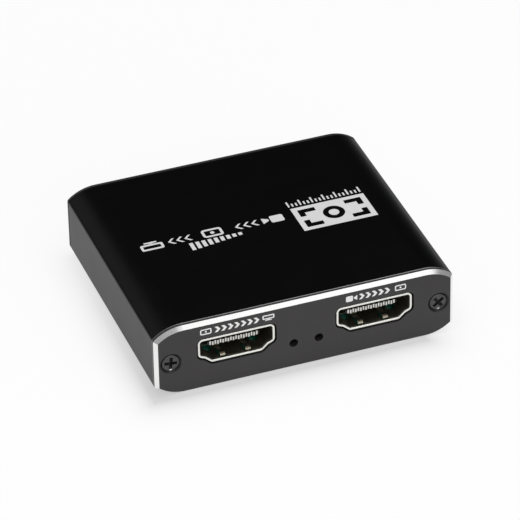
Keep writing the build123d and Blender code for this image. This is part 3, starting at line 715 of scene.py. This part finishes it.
def print_mesh(name, outlines):
    """A thin flat mesh of filled outlines, where an outline inside another is a hole."""
    curve = bpy.data.curves.new(name + "_outline", "CURVE")
    curve.dimensions = "2D"
    curve.fill_mode = "BOTH"
    curve.extrude = PRINT_LIFT * MM
    for outline in outlines:
        spline = curve.splines.new("POLY")
        spline.points.add(len(outline) - 1)
        for point, (x, y) in zip(spline.points, outline):
            point.co = (x * MM, y * MM, 0, 1)
        spline.use_cyclic_u = True
    holder = new_object(name + "_holder", curve)
    mesh = shown_mesh(holder)
    bpy.data.objects.remove(holder)
    bpy.data.curves.remove(curve)
    return mesh


def make_print(name, outlines, matrix, material):
    """A print laid on a face."""
    mesh = print_mesh(name, outlines)
    tidy = bmesh.new()
    tidy.from_mesh(mesh)
    bmesh.ops.remove_doubles(tidy, verts=tidy.verts, dist=PRINT_WELD * MM)
    bmesh.ops.recalc_face_normals(tidy, faces=tidy.faces)
    tidy.to_mesh(mesh)
    tidy.free()
    mesh.name = name
    mesh.transform(matrix)
    mesh.materials.clear()
    mesh.materials.append(material)
    piece = new_object(name, mesh)
    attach(piece, BODY)


def on_front(x, z):
    """Place of a print on the front plate, read from the front."""
    turn = Matrix.Rotation(math.radians(90), 4, "X")
    return Matrix.Translation(Vector((x, FRONT_Y, z)) * MM) @ turn


def on_top(x, y):
    """Place of a print on the top, read from the rear as on the real box."""
    turn = Matrix.Rotation(math.pi, 4, "Z")
    return Matrix.Translation(Vector((x, y, CASE_HEIGHT)) * MM) @ turn


def ink(name, colour, colour_shift):
    """Matt printing ink with a fine grain."""
    return surface(name, colour, 0.6, grain=0.003, grain_size=0.08, colour_shift=colour_shift,
                   blotch_size=1.5)


def make_prints():
    """The two prints over the sockets and the four on the top."""
    white = ink("print_white", PRINT_WHITE, 0.05)
    grey = ink("print_grey", PRINT_GREY, 0.06)
    make_print("output_print", output_outlines(), on_front(OUTPUT_PRINT_X, FRONT_PRINT_Z), white)
    make_print("input_print", input_outlines(), on_front(INPUT_PRINT_X, FRONT_PRINT_Z), white)
    make_print("badge_print", badge_outlines(), on_top(*BADGE_MIDDLE), grey)
    make_print("scale_print", scale_outlines(), on_top(*SCALE_MIDDLE), grey)
    make_print("path_print", path_outlines(), on_top(*PATH_MIDDLE), grey)
    make_print("steps_print", steps_outlines(), on_top(*STEPS_MIDDLE), grey)


# Screws


def lofted(rings):
    """A closed mesh through rings of points."""
    mesh = bmesh.new()
    rows = [[mesh.verts.new(Vector(point) * MM) for point in ring] for ring in rings]
    for upper, lower in zip(rows, rows[1:]):
        for i in range(len(upper)):
            mesh.faces.new((upper[i], upper[i - 1], lower[i - 1], lower[i]))
    mesh.faces.new(rows[0])
    mesh.faces.new(rows[-1][::-1])
    bmesh.ops.recalc_face_normals(mesh, faces=mesh.faces)
    return mesh


def cross_ring(depth, share):
    """The twelve corners of the cross recess at one depth, at a share of its full size."""
    long_half, wide_half = CROSS_HALF_LENGTH * share, CROSS_HALF_WIDTH * share
    corner = [(long_half, -wide_half), (long_half, wide_half), (wide_half, wide_half)]
    points = []
    for quarter in range(4):
        turn = Matrix.Rotation(math.pi / 2 * quarter, 2)
        points += [(*(turn @ Vector(point)), -depth) for point in corner]
    return points


def cross_cutter():
    """Tapered cross that cuts the recess, its top a little above the head; the recess walls it
    leaves take the second finish, painted near black as shade.
    """
    mesh = lofted([cross_ring(depth, share) for depth, share in RECESS_RINGS])
    for face in mesh.faces:
        face.material_index = 1
    return mesh


def screw_profile():
    """Radius and depth of the screw from the middle of its head to its tip, its thread as rings."""
    points = [(radius, HEAD_SETBACK + depth) for radius, depth in HEAD_CROWN]
    depth = points[-1][1] + HEAD_RADIUS - SHANK_RADIUS
    points.append((SHANK_RADIUS, depth))
    while depth + THREAD_PITCH < SCREW_LENGTH - TIP_LENGTH:
        depth += THREAD_PITCH
        points += [(SHANK_RADIUS - THREAD_DEPTH, depth - THREAD_PITCH / 2), (SHANK_RADIUS, depth)]
    points.append((TIP_RADIUS, SCREW_LENGTH))
    return points


def screw_ring(radius, depth):
    """A ring of points about the screw's axis."""
    turns = [2 * math.pi * i / SCREW_STEPS for i in range(SCREW_STEPS)]
    return [(radius * math.cos(turn), radius * math.sin(turn), -depth) for turn in turns]


def mesh_object(name, shape, materials):
    """An object in the scene from a finished bmesh."""
    mesh = bpy.data.meshes.new(name)
    shape.to_mesh(mesh)
    shape.free()
    for material in materials:
        mesh.materials.append(material)
    return new_object(name, mesh)


def cut_screw(materials):
    """Mesh of one screw, head up, with its recess cut and its sharp edges broken."""
    blank = lofted([screw_ring(radius, depth) for radius, depth in screw_profile()])
    body = mesh_object("screw_blank", blank, materials)
    cutter = mesh_object("screw_cutter", cross_cutter(), materials)
    cut = body.modifiers.new("recess", "BOOLEAN")
    cut.operation = "DIFFERENCE"
    cut.solver = "EXACT"
    cut.object = cutter
    soften = body.modifiers.new("soften", "BEVEL")
    soften.width = SCREW_EDGE * MM
    soften.segments = 2
    soften.limit_method = "ANGLE"
    soften.angle_limit = math.radians(BROKEN_EDGE_ANGLE)
    soften.material = 0
    mesh = shown_mesh(body)
    for helper in (body, cutter):
        bpy.data.objects.remove(helper)
    return mesh


def make_screws(node, facing, turns, materials):
    """The two screws of one plate, which stand for the node. facing is -1 front, 1 rear."""
    face_y = FRONT_Y if facing < 0 else REAR_Y
    upright = Matrix.Rotation(math.radians(-90 * facing), 4, "X")
    joined = bmesh.new()
    for side, turn in zip((-1, 1), turns):
        mesh = cut_screw(materials)
        place = Matrix.Translation(Vector((side * SCREW_X, face_y, SCREW_Z)) * MM)
        mesh.transform(place @ upright @ Matrix.Rotation(math.radians(turn), 4, "Z"))
        joined.from_mesh(mesh)
        bpy.data.meshes.remove(mesh)
    piece = mesh_object(node + "_detailed", joined, materials)
    for face in piece.data.polygons:
        face.use_smooth = True
    piece.data.set_sharp_from_angle(angle=math.radians(SHARP_EDGE_ANGLE))
    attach(piece, BODY)
    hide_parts(node)


# Studio


def foot_shade(finish):
    """How much the floor darkens round the foot of the box."""
    halves = (CASE_HALF_WIDTH - FOOT_SHADE_INSET[0], REAR_Y - FOOT_SHADE_INSET[1])
    near = finish.outside_of(FOOT_SHADE_MIDDLE, halves)
    fade = finish.math("EXPONENT", finish.math("DIVIDE", near, -FOOT_SHADE_REACH * MM))
    strength = finish.remap(finish.axis("Position", "Y"), (FRONT_Y * MM, REAR_Y * MM),
                            (FOOT_SHADE_FRONT, FOOT_SHADE_REAR))
    return finish.math("MULTIPLY", fade, strength)


def mirrored_share(finish, mirrored):
    """The share of the floor's glow that is left in surfaces that mirror it from afar."""
    fade = (MIRRORED_FADE_START * MM, MIRRORED_FADE_END * MM)
    loss = finish.remap(finish.outside_of((0, 0), (0, 0)), fade, (0, MIRRORED_LOSS))
    return finish.math("SUBTRACT", 1, finish.math("MULTIPLY", loss, mirrored))


def floor_material():
    """Pale floor that glows for the camera and in mirroring surfaces, but not on the box."""
    finish = Finish("studio_floor")
    finish.set("Roughness", 1)
    finish.set("Specular IOR Level", 0)
    finish.set("Emission Color", (1, 1, 1))
    path = finish.nodes.new("ShaderNodeLightPath").outputs
    seen = finish.math("MAXIMUM", path["Is Camera Ray"], path["Is Glossy Ray"])
    seen = finish.math("MAXIMUM", seen, path["Is Transmission Ray"])
    finish.set("Base Color", finish.mix(seen, (FLOOR_ALBEDO,) * 3, (FLOOR_SEEN_ALBEDO,) * 3))
    footprint = (CASE_HALF_WIDTH - UNDERSIDE_INSET[0], REAR_Y - UNDERSIDE_INSET[1])
    open_floor = finish.math("GREATER_THAN", finish.outside_of((0, 0), footprint), 0)
    glow = finish.math("SUBTRACT", 1, foot_shade(finish))
    for factor in (seen, open_floor, mirrored_share(finish, path["Is Glossy Ray"]), FLOOR_GLOW):
        glow = finish.math("MULTIPLY", glow, factor)
    finish.set("Emission Strength", glow)
    return finish.material


def make_floor():
    """A large pale floor that the camera sees near white, with the shadow on it."""
    corners = [(-1, -1), (1, -1), (1, 1), (-1, 1)]
    mesh = bpy.data.meshes.new("studio_floor")
    mesh.from_pydata([(x * FLOOR_HALF, y * FLOOR_HALF, 0) for x, y in corners], [],
                     [(0, 1, 2, 3)])
    mesh.materials.append(floor_material())
    floor = new_object("studio_floor", mesh)


def area_light(name, place, aim, size, power):
    """A soft light at a place, turned to what it aims at, all in metres."""
    light = bpy.data.lights.new(name, "AREA")
    light.shape = "RECTANGLE"
    light.size, light.size_y = size
    light.energy = power
    holder = new_object(name, light)
    holder.location = place
    holder.rotation_euler = (aim - place).to_track_quat("-Z", "Y").to_euler()


def make_light():
    """The lamps round the box, and a weak even light from the world."""
    world = bpy.data.worlds.new("studio")
    bpy.context.scene.world = world
    world.use_nodes = True
    back = world.node_tree.nodes["Background"]
    back.inputs["Color"].default_value = (1, 1, 1, 1)
    back.inputs["Strength"].default_value = WORLD_LEVEL
    middle = Vector((0, 0, CASE_HEIGHT / 2 * MM))
    for name, way, size, level in LIGHTS:
        direction = Vector(way).normalized()
        place = middle + LIGHT_DISTANCE * direction
        power = level * math.pi * LIGHT_DISTANCE ** 2 / direction.z
        area_light(name, place, middle, size, power)


def make_camera():
    """The camera, turned about its target by its azimuth, elevation and roll."""
    azimuth = math.radians(CAMERA_AZIMUTH)
    elevation = math.radians(CAMERA_ELEVATION)
    roll = math.radians(CAMERA_ROLL)
    back = Vector((math.sin(azimuth) * math.cos(elevation),
                   -math.cos(azimuth) * math.cos(elevation), math.sin(elevation)))
    right = Vector((0, 0, 1)).cross(back).normalized()
    up = back.cross(right)
    turned_right = math.cos(roll) * right + math.sin(roll) * up
    turned_up = -math.sin(roll) * right + math.cos(roll) * up
    data = bpy.data.cameras.new("camera")
    data.lens = CAMERA_LENS
    data.sensor_width = CAMERA_SENSOR
    data.clip_start, data.clip_end = CAMERA_CLIP
    camera = new_object("camera", data)
    place = (CAMERA_TARGET + back * CAMERA_DISTANCE) * MM
    axes = Matrix((turned_right, turned_up, back)).transposed().to_4x4()
    camera.matrix_world = Matrix.Translation(place) @ axes
    bpy.context.scene.camera = camera


def make_studio():
    """Floor, lights, camera and the plain view of colours."""
    make_floor()
    make_light()
    make_camera()
    bpy.context.scene.view_settings.view_transform = "Standard"


materials = make_materials()
dress_nodes(materials)
make_prints()
# Painted shade: the screws' cross recesses are drawn near black
recess_shade_finish = surface("screw_recess_painted_shade", SCREW_RECESS_PAINTED_SHADE, 0.7, grain=0.004, grain_size=0.1)
screw_finishes = [materials["screw"], recess_shade_finish]
make_screws("front_screws", -1, FRONT_SCREW_TURNS, screw_finishes)
make_screws("rear_screws", 1, REAR_SCREW_TURNS, screw_finishes)
make_studio()
